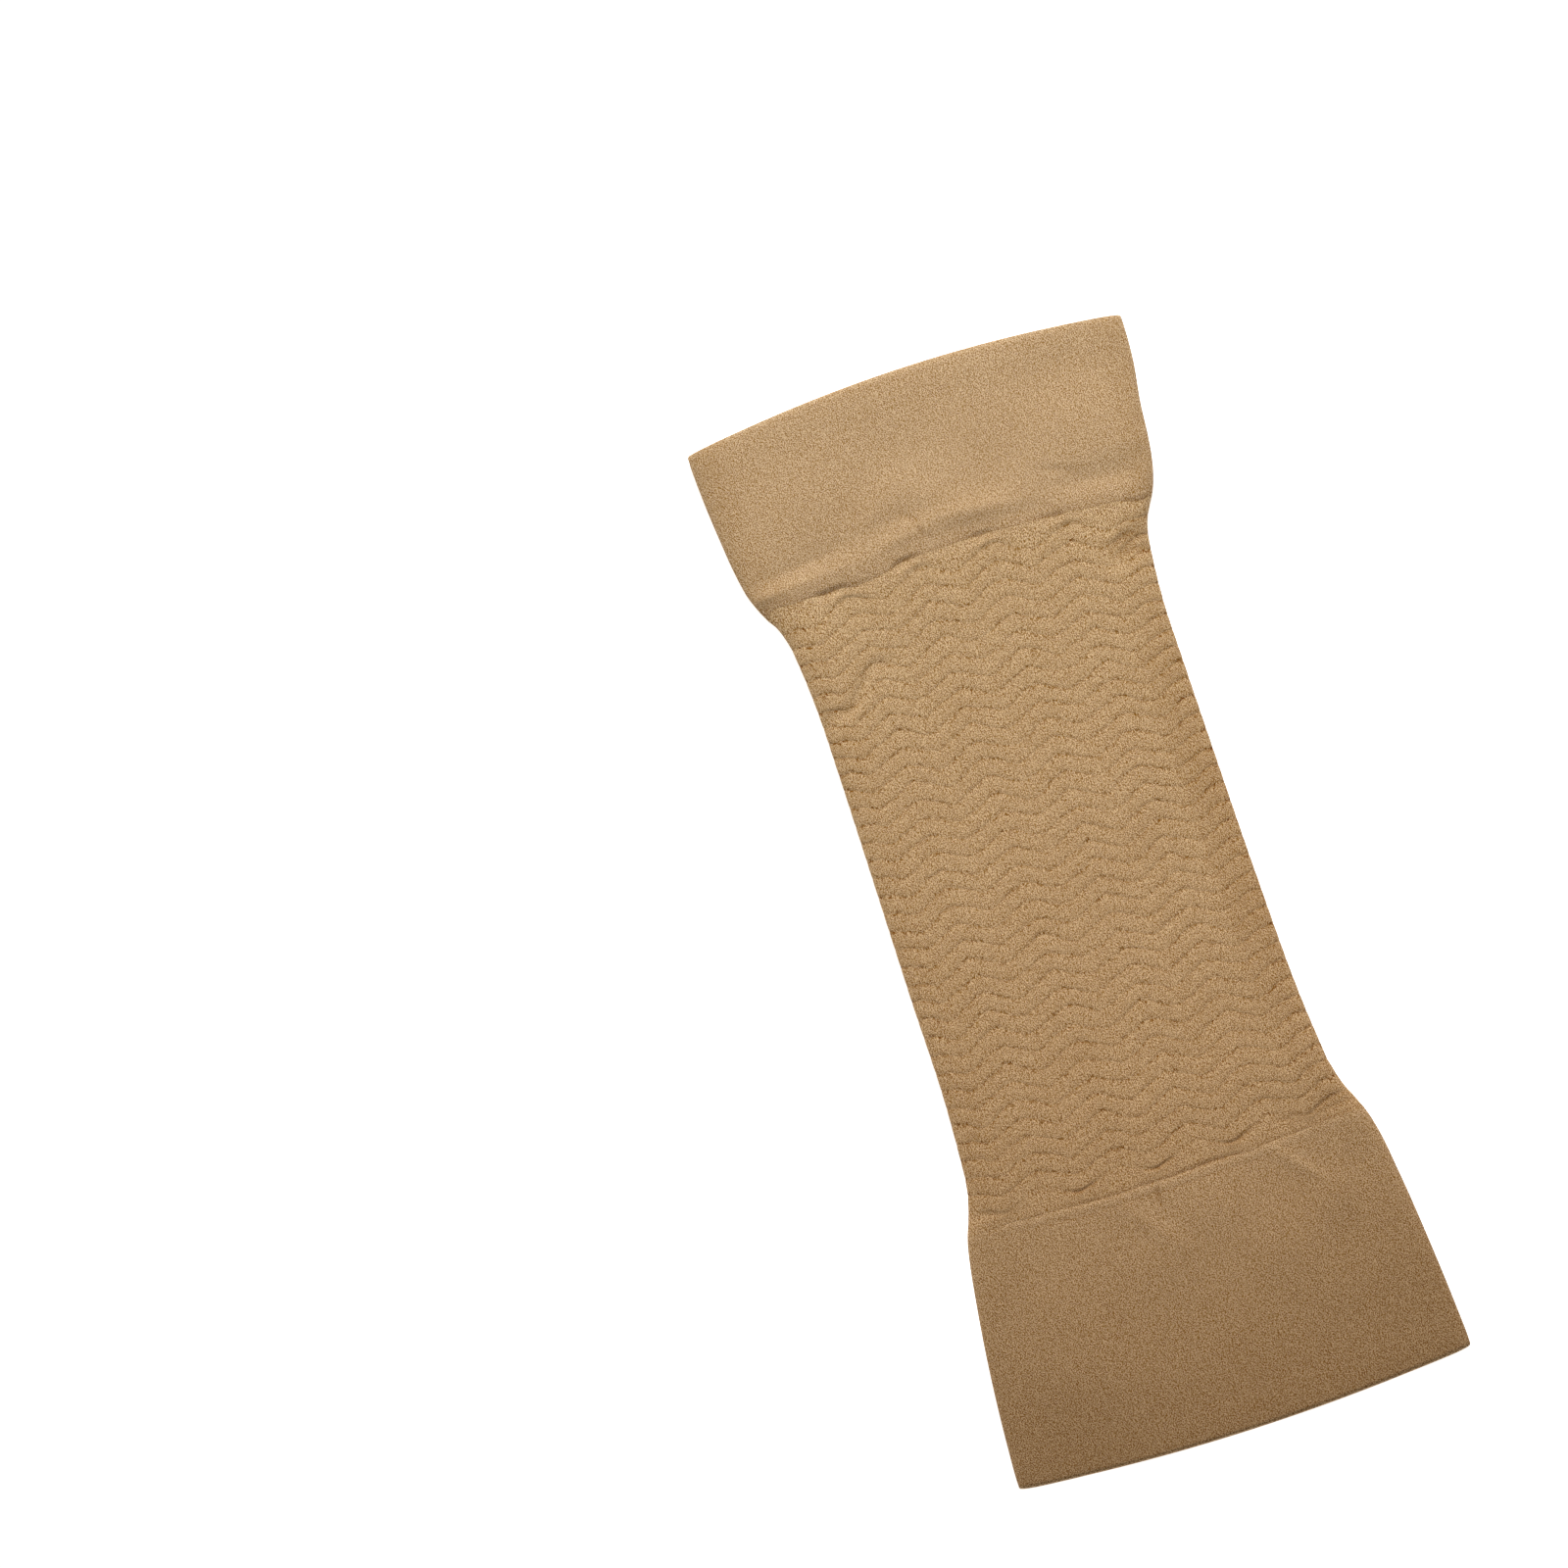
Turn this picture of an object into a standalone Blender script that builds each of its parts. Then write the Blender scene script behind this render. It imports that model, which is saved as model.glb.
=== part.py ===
"""Compression arm sleeve, laid flat.

Three seamless knit tubes stand end to end: a short plain cuff, a long rippled body and a
long plain cuff. Each tube is pressed flat, so that its front layer lies on its back layer
and its two sides are rounded folds. The sleeve lies along Y with the short cuff at +Y. Its
underside is on z = 0, and the origin is under the middle of its bounding box.
"""

from collections import namedtuple
import math

import bpy

MM = 0.001

# Driving dimensions, in millimetres.
SEAM_GAP = 0.3          # clearance between two tubes, measured along the sleeve
FOLD_REACH = 4.5        # how far in from the side each fold rounds over
FOLD_SWELL = 0.9        # how much thicker the sleeve is at a fold than in its middle
SWELL_RUN = 16.0        # width of the slope from the middle up to the swollen fold
EDGE_ROUND = 0.5        # how far the rounded end of a wall stands out

# Points around a ring.
LAYER_STEPS = 16        # across the front layer, and across the back layer
FOLD_STEPS = 8          # around each side fold; even, so that one point is on its side

# One row for each section across the sleeve.
#   side_y   where the section meets the side folds
#   bow      how much further along +Y the section runs in the middle of the sleeve
#   left     distance of the left fold from the centre line
#   right    distance of the right fold from the centre line
#   loft     thickness of the two layers together in the middle
Section = namedtuple("Section", "side_y bow left right loft")

CUFF_SEAM = Section(side_y=93.5, bow=4.3, left=53.0, right=51.9, loft=3.9)
LONG_CUFF_SEAM = Section(side_y=-74.7, bow=-2.0, left=54.2, right=54.8, loft=3.6)

SHORT_CUFF_SECTIONS = (
    Section(side_y=140.4, bow=4.5, left=59.6, right=58.7, loft=3.7),
    Section(side_y=138.0, bow=4.5, left=59.6, right=58.7, loft=3.9),
    Section(side_y=129.3, bow=4.4, left=59.3, right=58.3, loft=3.8),
    Section(side_y=116.6, bow=4.3, left=58.3, right=56.5, loft=3.7),
    Section(side_y=108.0, bow=4.3, left=57.4, right=55.7, loft=3.7),
    Section(side_y=103.6, bow=4.3, left=56.7, right=55.1, loft=3.7),
    Section(side_y=100.8, bow=4.3, left=56.1, right=54.5, loft=4.0),
    Section(side_y=98.2, bow=4.3, left=55.2, right=53.8, loft=4.2),
    Section(side_y=95.8, bow=4.3, left=54.2, right=53.0, loft=4.1),
    CUFF_SEAM,
)

WAVE_BODY_SECTIONS = (
    CUFF_SEAM._replace(side_y=CUFF_SEAM.side_y - SEAM_GAP),
    Section(side_y=91.2, bow=4.3, left=51.7, right=50.7, loft=3.7),
    Section(side_y=84.8, bow=4.3, left=49.7, right=48.1, loft=3.6),
    Section(side_y=78.5, bow=3.9, left=48.9, right=47.2, loft=3.6),
    Section(side_y=65.8, bow=2.7, left=48.1, right=46.2, loft=3.6),
    Section(side_y=50.0, bow=0.7, left=48.0, right=46.2, loft=3.6),
    Section(side_y=27.7, bow=0.0, left=48.1, right=46.4, loft=3.6),
    Section(side_y=-10.4, bow=0.0, left=48.5, right=47.1, loft=3.6),
    Section(side_y=-42.2, bow=-0.3, left=49.0, right=48.1, loft=3.6),
    Section(side_y=-54.9, bow=-0.9, left=49.7, right=49.1, loft=3.6),
    Section(side_y=-61.2, bow=-1.3, left=50.2, right=49.9, loft=3.6),
    Section(side_y=-67.6, bow=-1.7, left=51.5, right=51.7, loft=3.6),
    LONG_CUFF_SEAM._replace(side_y=LONG_CUFF_SEAM.side_y + SEAM_GAP),
)

LONG_CUFF_SECTIONS = (
    LONG_CUFF_SEAM,
    Section(side_y=-77.0, bow=-2.1, left=54.9, right=55.6, loft=3.7),
    Section(side_y=-80.3, bow=-2.1, left=55.5, right=56.3, loft=3.7),
    Section(side_y=-93.0, bow=-2.4, left=57.5, right=58.0, loft=3.7),
    Section(side_y=-112.0, bow=-2.8, left=59.8, right=59.9, loft=3.7),
    Section(side_y=-131.1, bow=-3.2, left=61.3, right=61.3, loft=3.7),
    Section(side_y=-139.0, bow=-3.4, left=61.7, right=61.7, loft=3.8),
    Section(side_y=-141.5, bow=-3.4, left=61.7, right=61.7, loft=3.6),
)

# One row for each tube, from the short cuff to the long one.
#   wall     thickness of one layer: a cuff is doubled back on itself, the body is single
#   colour   linear RGB of its yarn
Tube = namedtuple("Tube", "name sections wall colour")

TUBES = (
    Tube("short_cuff", SHORT_CUFF_SECTIONS, 1.6, (0.43, 0.28, 0.15)),
    Tube("wave_body", WAVE_BODY_SECTIONS, 1.3, (0.40, 0.25, 0.13)),
    Tube("long_cuff", LONG_CUFF_SECTIONS, 1.6, (0.36, 0.22, 0.11)),
)


def smooth_step(value):
    """Ease from 0 to 1 as the value goes from 0 to 1."""
    value = min(max(value, 0.0), 1.0)
    return value * value * (3.0 - 2.0 * value)


def thickness_at(x, section):
    """Thickness of the laid sleeve at x: its loft, swelling towards the nearer fold."""
    side = section.right if x > 0.0 else section.left
    to_fold = side - FOLD_REACH - abs(x)
    return section.loft + FOLD_SWELL * smooth_step(1.0 - to_fold / SWELL_RUN)


def ring_points(section, depth, along):
    """One ring round the flattened tube, depth inside its outer face.

    The ring runs left to right under the back layer, up round the right fold, right to
    left over the front layer and down round the left fold. Along moves it in Y.
    """
    flat_left = FOLD_REACH - section.left
    flat_right = section.right - FOLD_REACH
    across = [flat_left + (flat_right - flat_left) * step / LAYER_STEPS
              for step in range(LAYER_STEPS + 1)]
    ring = [(x, x, depth) for x in across]
    ring += fold_points(flat_right, section, depth, 1.0)
    ring += [(x, x, thickness_at(x, section) - depth) for x in reversed(across)]
    ring += fold_points(flat_left, section, depth, -1.0)
    return [(x * MM, (bowed_y(outer_x, section) + along) * MM, z * MM)
            for x, outer_x, z in ring]


def fold_points(centre_x, section, depth, side):
    """The half ellipse of a fold: upwards on the right (side 1), downwards on the left (-1)."""
    half_height = thickness_at(centre_x, section) / 2.0
    points = []
    for step in range(1, FOLD_STEPS):
        angle = math.pi * step / FOLD_STEPS
        reach = side * math.sin(angle)
        rise = -side * math.cos(angle)
        points.append((centre_x + (FOLD_REACH - depth) * reach,
                       centre_x + FOLD_REACH * reach,
                       half_height + (half_height - depth) * rise))
    return points


def bowed_y(x, section):
    """Y of the section at x: it bows along the sleeve, most in the middle."""
    side = section.right if x > 0.0 else section.left
    return section.side_y + section.bow * (1.0 - (x / side) ** 2)


def wall_rings(tube):
    """Every ring of a tube's wall: down the outside, round the far end, back up the inside."""
    first, last = tube.sections[0], tube.sections[-1]
    middle = tube.wall / 2.0
    inset = {first: -EDGE_ROUND, last: EDGE_ROUND}
    outside = [ring_points(section, 0.0, inset.get(section, 0.0)) for section in tube.sections]
    inside = [ring_points(section, tube.wall, inset.get(section, 0.0))
              for section in reversed(tube.sections)]
    return outside + [ring_points(last, middle, 0.0)] + inside + [ring_points(first, middle, 0.0)]


def tube_mesh(tube):
    """Join the rings of the wall, each to the next and the last to the first."""
    rings = wall_rings(tube)
    around = len(rings[0])
    vertices = [point for ring in rings for point in ring]
    faces = []
    for row in range(len(rings)):
        next_row = (row + 1) % len(rings)
        for column in range(around):
            next_column = (column + 1) % around
            faces.append((row * around + column,
                          row * around + next_column,
                          next_row * around + next_column,
                          next_row * around + column))
    mesh = bpy.data.meshes.new(tube.name)
    mesh.from_pydata(vertices, [], faces)
    mesh.shade_smooth()
    mesh.set_sharp_from_angle(angle=math.radians(60.0))
    return mesh


def knit_material(tube):
    """Matt nylon knit in the tube's own shade."""
    material = bpy.data.materials.new(tube.name + "_knit")
    material.use_nodes = True
    shader = material.node_tree.nodes["Principled BSDF"]
    shader.inputs["Base Color"].default_value = (*tube.colour, 1.0)
    shader.inputs["Roughness"].default_value = 0.85
    shader.inputs["Metallic"].default_value = 0.0
    return material


for old_object in list(bpy.data.objects):
    bpy.data.objects.remove(old_object, do_unlink=True)

for knit_tube in TUBES:
    tube_object = bpy.data.objects.new(knit_tube.name, tube_mesh(knit_tube))
    tube_object.data.materials.append(knit_material(knit_tube))
    bpy.context.scene.collection.objects.link(tube_object)
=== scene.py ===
from collections import namedtuple
import math

import bpy
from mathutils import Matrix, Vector
import numpy as np


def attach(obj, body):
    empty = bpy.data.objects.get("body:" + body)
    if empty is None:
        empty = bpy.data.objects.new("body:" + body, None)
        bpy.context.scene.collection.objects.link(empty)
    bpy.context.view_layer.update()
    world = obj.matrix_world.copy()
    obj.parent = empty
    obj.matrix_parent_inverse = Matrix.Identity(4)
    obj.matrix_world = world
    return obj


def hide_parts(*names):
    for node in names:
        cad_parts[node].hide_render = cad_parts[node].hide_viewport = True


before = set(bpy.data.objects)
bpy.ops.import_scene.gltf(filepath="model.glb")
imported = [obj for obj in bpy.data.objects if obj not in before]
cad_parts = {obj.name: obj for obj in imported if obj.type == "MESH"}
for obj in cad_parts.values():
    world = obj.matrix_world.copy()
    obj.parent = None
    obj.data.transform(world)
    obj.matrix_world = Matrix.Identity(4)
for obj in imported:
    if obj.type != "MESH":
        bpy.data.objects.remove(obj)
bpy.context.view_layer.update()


# ------------ short cuff
# The plain welt at the narrow end: fine flat knit in nylon and elastane, doubled back on
# itself at the hem. Where it meets the stretchier body it puffs up into a soft, wavy roll.

# side_y and bow place a section along the sleeve, at its folds and further on in its middle;
# left and right are its folds' distances from the centre line; loft is its thickness. All in mm.
MM = 0.001               # in metres
Section = namedtuple("Section", "side_y bow left right loft")

SHORT_CUFF_SECTIONS = (
    Section(140.4, 4.5, 59.6, 58.7, 3.9),
    Section(138.0, 4.5, 59.6, 58.7, 4.1),
    Section(129.3, 4.4, 59.3, 58.3, 4.0),
    Section(116.6, 4.3, 58.3, 56.5, 3.9),
    Section(108.0, 4.3, 57.4, 55.7, 3.9),
    Section(103.6, 4.3, 56.7, 55.1, 3.9),
    Section(100.8, 4.3, 56.1, 54.5, 4.2),
    Section(98.2, 4.3, 55.2, 53.8, 4.4),
    Section(95.8, 4.3, 54.2, 53.0, 4.3),
    Section(93.36, 4.3, 53.0, 51.9, 4.1),
)
CUFF_WALL = 1.6          # two plies of fine knit
JOIN_ROUND = 0.02        # how far a wall's edge rounds off where two tubes meet
JOIN_ROW = 0.03          # from such an edge to the next mesh row
FOLD_REACH = 4.5         # how far in from the side a fold rounds over
FOLD_SWELL = 0.9         # how much a fold stands above the middle
SWELL_RUN = 16.0         # width of the slope up to it
FOLD_COLUMNS = 6         # mesh columns in a quarter turn of a fold
CUFF_COLUMNS = 200       # and across one layer of a cuff
WALES = 400              # columns of stitches round the whole sleeve
COURSE = 0.42            # height of one course of stitches

# The mesh rows down the outside: stretches of evenly spaced ones, closer where the cloth puffs.
Stretch = namedtuple("Stretch", "start end step")

SHORT_CUFF_ROWS = (
    Stretch(140.4, 111.0, 0.7),
    Stretch(111.0, 98.0, 0.35),
    Stretch(98.0, 93.5, 0.2),
)


def eased(value):
    """Ease from 0 to 1 as the value goes from 0 to 1."""
    value = np.clip(value, 0.0, 1.0)
    return value * value * (3.0 - 2.0 * value)


def read_off(sections, column, side_y):
    """A column of a section table, read at any side_y along a smooth curve through its rows."""
    known_y = np.array([section.side_y for section in sections])[::-1]
    known = np.array([getattr(section, column) for section in sections])[::-1]
    slope = np.gradient(known, known_y)
    low = np.clip(np.searchsorted(known_y, side_y) - 1, 0, len(known) - 2)
    step = known_y[low + 1] - known_y[low]
    t = np.clip((side_y - known_y[low]) / step, 0.0, 1.0)
    return ((1 + 2 * t) * (1 - t) ** 2 * known[low] + t * (1 - t) ** 2 * step * slope[low]
            + t * t * (3 - 2 * t) * known[low + 1] - t * t * (1 - t) * step * slope[low + 1])


def rows_down(stretches):
    """The side_y of each mesh row in the stretches."""
    return np.concatenate([np.arange(part.start, part.end, -part.step) for part in stretches])


def columns_round(flat_steps):
    """Where the mesh's columns stand, from the left side under the sleeve and back over it.

    across runs 0 to 1 between the centres of the two folds; turn is the angle round a fold,
    0 where the layer lies underneath and pi where it lies on top.
    """
    quarter = np.arange(FOLD_COLUMNS) / FOLD_COLUMNS * math.pi / 2
    flat = np.arange(flat_steps) / flat_steps
    across = np.concatenate([np.zeros(FOLD_COLUMNS), flat, np.ones(2 * FOLD_COLUMNS),
                             1 - flat, np.zeros(FOLD_COLUMNS)])
    turn = np.concatenate([quarter - math.pi / 2, np.zeros(flat_steps), quarter,
                           quarter + math.pi / 2, np.full(flat_steps, math.pi), quarter + math.pi])
    return across, turn


# A wall's rows: side_y, depth and along for each, how thick it is, and how many lie outside.
Wall = namedtuple("Wall", "side_y depth along thickness outside")


def wall_rows(outside_y, inside_step, thickness, far_round, near_round, round_steps=5):
    """Rows that go round one wall: far edge, outside, near edge and back up the inside."""
    top, bottom = outside_y[0], outside_y[-1]
    inside_y = np.linspace(bottom, top, max(3, int((top - bottom) / inside_step)))[1:-1]
    lip = np.arange(round_steps + 1) / round_steps * math.pi
    edge_depth = thickness / 2 * (1 - np.cos(lip))
    side_y = np.concatenate([np.full(lip.size, top), outside_y[1:-1],
                             np.full(lip.size, bottom), inside_y])
    depth = np.concatenate([edge_depth[::-1], np.zeros(outside_y.size - 2), edge_depth,
                            np.full(inside_y.size, thickness)])
    along = np.concatenate([far_round * (np.sin(lip[::-1]) - 1), np.zeros(outside_y.size - 2),
                            near_round * (1 - np.sin(lip)), np.zeros(inside_y.size)])
    return Wall(side_y, depth, along, thickness, 2 * lip.size + outside_y.size - 2)


def laid_points(sections, wall, across, turn):
    """Points of the flattened tube, one row for each of the wall's rows."""
    side_y, depth, along = wall.side_y[:, None], wall.depth[:, None], wall.along[:, None]
    left, right, bow, loft = (read_off(sections, column, side_y)
                              for column in ("left", "right", "bow", "loft"))
    centre = FOLD_REACH - left + (left + right - 2 * FOLD_REACH) * across
    to_fold = np.where(centre > 0, right, left) - FOLD_REACH - np.abs(centre)
    half = (loft + FOLD_SWELL * eased(1 - to_fold / SWELL_RUN)) / 2
    x = centre + (FOLD_REACH - depth) * np.sin(turn)
    outer_x = centre + FOLD_REACH * np.sin(turn)
    z = half - (half - depth) * np.cos(turn)
    bowed = side_y + bow * (1 - (outer_x / np.where(outer_x > 0, right, left)) ** 2)
    return np.stack([x, bowed + along, z], axis=-1)


def centre_line(sections, side_y):
    """How far along the sleeve each row of stitches crosses its centre line."""
    return side_y + read_off(sections, "bow", side_y)


def outer_share(wall):
    """For each of a wall's rows, 1 on its outer face, 0 on its inner face."""
    return 1 - wall.depth[:, None] / wall.thickness


# A soft crease or puff in the cloth: where its middle is, how long and how wide it is, how high
# it stands (or how deep, below 0), all in mm, and how far it is turned from across the sleeve.
# Its y is that of the row of stitches it lies on, where that row crosses the centre line.
Crease = namedtuple("Crease", "x y length width height turn")
SHARP = 1.0              # creases narrower than this also get painted shade in their troughs and painted highlight on their ridges

SHORT_CUFF_CREASES = (
    # The roll's crests, and the dips above and below them.
    Crease(3.0, 104.7, 27.0, 2.2, 0.56, -3),
    Crease(8.0, 100.2, 40.0, 2.0, -0.16, 0),
    Crease(20.5, 100.6, 13.0, 4.0, -0.32, 0),
    Crease(-42.0, 106.1, 26.0, 2.1, -0.58, -1),
    Crease(-24.0, 107.0, 22.0, 2.4, -0.22, 5),
    Crease(-14.5, 103.4, 12.0, 1.7, 0.34, 3),
    Crease(-40.0, 101.9, 40.0, 1.7, 0.34, -1),
    Crease(-36.0, 99.6, 28.0, 1.5, 0.14, 0),
    Crease(38.5, 104.2, 23.0, 3.2, -0.95, 1),
    Crease(50.0, 111.5, 13.0, 5.0, 0.45, 0),
    Crease(33.0, 109.4, 30.0, 5.0, 0.34, 0),
    # Small puckers beside it.
    Crease(30.5, 108.4, 9.0, 1.2, -0.26, -18),
    Crease(-9.9, 107.5, 6.5, 0.6, -0.28, -38),
    Crease(-8.1, 103.0, 3.6, 0.4, -0.45, -82),
    Crease(-6.4, 103.2, 4.0, 1.0, 0.20, -80),
    # An arch over its middle, and the slack in the rest of the welt.
    Crease(-19.0, 110.8, 22.0, 4.2, 0.50, 34),
    Crease(0.5, 108.7, 27.0, 4.2, 0.50, -30),
    Crease(-9.0, 119.5, 16.0, 5.0, 0.20, 0),
    Crease(-8.0, 123.0, 26.0, 8.0, -0.50, 0),
    Crease(-37.0, 119.0, 28.0, 8.0, 0.40, 4),
    Crease(15.5, 114.0, 12.0, 5.5, -0.40, 3),
    Crease(41.0, 118.5, 28.0, 8.0, 0.65, 0),
    Crease(-30.0, 124.0, 40.0, 8.0, 0.20, -5),
    Crease(40.0, 134.0, 30.0, 8.0, -0.45, 3),
)
SHORT_CUFF_BACK_CREASES = (
    Crease(22.0, 107.0, 30.0, 2.6, -0.45, -6),
    Crease(-30.0, 108.5, 24.0, 2.2, -0.40, 9),
    Crease(-6.0, 103.0, 5.0, 0.7, -0.35, 50),
    Crease(4.0, 118.0, 46.0, 7.0, -0.25, 3),
)


def crease_heights(creases, x, y):
    """Height of a set of creases over each point."""
    height = np.zeros(np.broadcast(x, y).shape)
    for crease in creases:
        angle = math.radians(crease.turn)
        run = (x - crease.x) * math.cos(angle) + (y - crease.y) * math.sin(angle)
        off = (y - crease.y) * math.cos(angle) - (x - crease.x) * math.sin(angle)
        height += (crease.height * np.exp(-(off / crease.width) ** 2)
                   * np.exp(-np.abs(run / (crease.length / 2)) ** 3))
    return height


def crumpled(points, line_y, wall, turn, front_creases, back_creases):
    """Move the wall's outer face by its creases: the front up or down, the back only inwards.

    Gives back how deep in a sharp crease each point lies, or below 0 how high on a sharp ridge.
    """
    outer = outer_share(wall)
    on_top = np.clip(-np.cos(turn), 0, 1) ** 0.5
    underneath = np.clip(np.cos(turn), 0, 1) ** 0.5
    x, y = points[..., 0], line_y[:, None]
    points[..., 2] += outer * on_top * crease_heights(front_creases, x, y)
    points[..., 2] -= outer * underneath * np.minimum(crease_heights(back_creases, x, y), 0)
    front_sharp, back_sharp = ([crease for crease in creases if crease.width < SHARP]
                               for creases in (front_creases, back_creases))
    return -(on_top * crease_heights(front_sharp, x, y)
             + underneath * crease_heights(back_sharp, x, y))


# Where a join is pinched in: its place and half-length across the sleeve, how deep it goes, and
# how far the join is drawn along the sleeve there. All in mm.
Pinch = namedtuple("Pinch", "x reach depth drawn")
DRAWN_REACH = 4.0        # how far up and down the sleeve the cloth follows a join that is drawn
DARK_REACH = 0.3         # half the width of the line of painted shade in a pinch
DARK_STEPS = 190         # how often that line changes across the sleeve, about once a stitch
DARK_SPAN = 62.0         # from the centre line to beyond the widest fold
DARK_RANGE = (0.3, 1.8)  # and how dark it can be, where the pinch's own depth is 1

ROLL_JOIN_Y = 97.65      # where the roll meets the body, on the centre line
ROLL_PINCHES = (
    Pinch(-56.0, 11.0, 0.00, 2.4),
    Pinch(-46.5, 3.6, 0.06, 0.0),
    Pinch(-41.0, 3.0, 0.00, 0.5),
    Pinch(-35.4, 4.4, 0.68, -0.4),
    Pinch(-27.0, 4.4, 0.24, -1.6),
    Pinch(-20.6, 3.6, 0.03, -1.1),
    Pinch(-14.6, 3.8, 0.60, -0.2),
    Pinch(-4.0, 6.5, 0.05, -0.2),
    Pinch(6.4, 3.6, 0.50, -0.2),
    Pinch(15.5, 4.6, 0.06, -0.3),
    Pinch(25.4, 3.7, 0.40, -0.5),
    Pinch(35.5, 5.0, 0.05, -0.4),
    Pinch(47.2, 3.2, 0.32, -1.0),
)
ROLL_BACK_PINCHES = (
    Pinch(-44.0, 4.0, 0.60, 0.3),
    Pinch(-27.0, 4.6, 0.85, -0.7),
    Pinch(-8.0, 5.2, 0.45, 0.4),
    Pinch(11.0, 4.2, 0.80, 0.5),
    Pinch(31.0, 4.4, 0.65, -0.8),
)


def pinched(points, line_y, wall, turn, join_y, front_pinches, back_pinches, width):
    """Pinch the wall in beside the join at join_y, over width, and draw the join along.

    Gives back how deep in a pinch each point lies, varied from stitch to stitch: the painted shade
    of the join's dark line.
    """
    outer = outer_share(wall)
    from_join = (line_y - join_y)[:, None]
    deep = np.zeros(points.shape[:2])
    for pinches, up in ((front_pinches, 1.0), (back_pinches, -1.0)):
        for pinch in pinches:
            reached = eased(-up * np.cos(turn)) * np.exp(
                -np.abs((points[..., 0] - pinch.x) / pinch.reach) ** 3)
            sunk = pinch.depth * reached * outer * np.exp(-(from_join / width) ** 2)
            points[..., 2] -= up * sunk
            points[..., 1] += pinch.drawn * reached * np.exp(-(from_join / DRAWN_REACH) ** 2)
            deep += pinch.depth * reached * np.exp(-(from_join / DARK_REACH) ** 2)

    # The painted shade of the join comes and goes from stitch to stitch.
    random = np.random.default_rng(19)
    step_x = np.linspace(-DARK_SPAN, DARK_SPAN, DARK_STEPS)
    return deep * np.interp(points[..., 0], step_x, random.uniform(*DARK_RANGE, DARK_STEPS))


RISE_COUNTED = 0.6       # round a fold, its rise counts this much, so the knit stretches there


def round_share(points):
    """How far round the tube each column is, from 0 to 1."""
    step = np.roll(points, -1, axis=1) - points
    length = np.hypot(step[:, :, 0], RISE_COUNTED * step[:, :, 2])
    half = length.shape[1] // 2
    layers = [np.cumsum(part, axis=1) / part.sum(axis=1, keepdims=True)
              for part in (length[:, :half], length[:, half:])]
    start = np.zeros((len(points), 1))
    return np.concatenate([start, layers[0] / 2, 0.5 + layers[1] / 2], axis=1)


# A place in the UV map OFBake.
Box = namedtuple("Box", "left bottom width height")


def knit_tube(name, points, wall, boxes):
    """A closed mesh of a tube's wall, with its stitches and its layers laid out as UV maps.

    The map Stitches counts wales round the tube and courses along it. The map OFBake lays the
    outside's back and front and the inside's back and front in the four boxes.
    """
    rows, columns = points.shape[:2]
    number = np.arange(rows * columns).reshape(rows, columns)
    below, beside = np.roll(number, -1, axis=0), np.roll(number, -1, axis=1)
    faces = np.stack([number, beside, np.roll(below, -1, axis=1), below], axis=-1)
    mesh = bpy.data.meshes.new(name)
    mesh.from_pydata((points.reshape(-1, 3) * MM).tolist(), [], faces.reshape(-1, 4).tolist())

    share = round_share(points)
    step = np.linalg.norm(np.roll(points, -1, axis=0) - points, axis=2).mean(axis=1)
    path = np.concatenate([[0.0], np.cumsum(step)])
    share = np.concatenate([share, share[:1]])

    def corners(grid):
        return np.stack([grid[:-1, :-1], grid[:-1, 1:], grid[1:, 1:], grid[1:, :-1]], axis=-1)

    u = corners(share)
    v = corners(np.repeat(path[:, None], columns + 1, axis=1))
    stitches = np.stack([u * WALES, v / COURSE], axis=-1)

    front = (np.arange(columns) >= columns // 2)[None, :, None]
    inside = (np.arange(rows) >= wall.outside - 1)[:, None, None]
    turn_in = path[wall.outside - 1]
    within_layer = 2 * u - front
    within_side = np.where(inside, (v - turn_in) / (path[-1] - turn_in), v / turn_in)
    box = Box(*np.moveaxis(np.array(boxes)[2 * inside + front], -1, 0))
    laid = np.stack([box.left + box.width * within_layer,
                     box.bottom + box.height * within_side], axis=-1)
    for label, values in (("Stitches", stitches), ("OFBake", laid)):
        layer = mesh.uv_layers.new(name=label)
        layer.uv.foreach_set("vector", values.astype(np.float32).ravel())
    mesh.shade_smooth()
    piece = bpy.data.objects.new(name, mesh)
    bpy.context.scene.collection.objects.link(piece)
    return piece


def note_on(piece, label, values):
    """Keep one number for each of the piece's points, under a label that its material reads."""
    attribute = piece.data.attributes.new(label, "FLOAT", "POINT")
    attribute.data.foreach_set("value", np.asarray(values, dtype=np.float32).ravel())


across, turn = columns_round(CUFF_COLUMNS)
short_cuff_end = SHORT_CUFF_SECTIONS[-1].side_y
short_cuff_y = np.concatenate([rows_down(SHORT_CUFF_ROWS),
                               [short_cuff_end + JOIN_ROW, short_cuff_end]])
short_cuff_wall = wall_rows(short_cuff_y, inside_step=4.0, thickness=CUFF_WALL,
                            far_round=CUFF_WALL / 2, near_round=JOIN_ROUND)
short_cuff_line = centre_line(SHORT_CUFF_SECTIONS, short_cuff_wall.side_y)
short_cuff_points = laid_points(SHORT_CUFF_SECTIONS, short_cuff_wall, across, turn)
in_crease = crumpled(short_cuff_points, short_cuff_line, short_cuff_wall, turn,
                     SHORT_CUFF_CREASES, SHORT_CUFF_BACK_CREASES)
in_crease += pinched(short_cuff_points, short_cuff_line, short_cuff_wall, turn, ROLL_JOIN_Y,
                     ROLL_PINCHES, ROLL_BACK_PINCHES, width=0.8)

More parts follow.
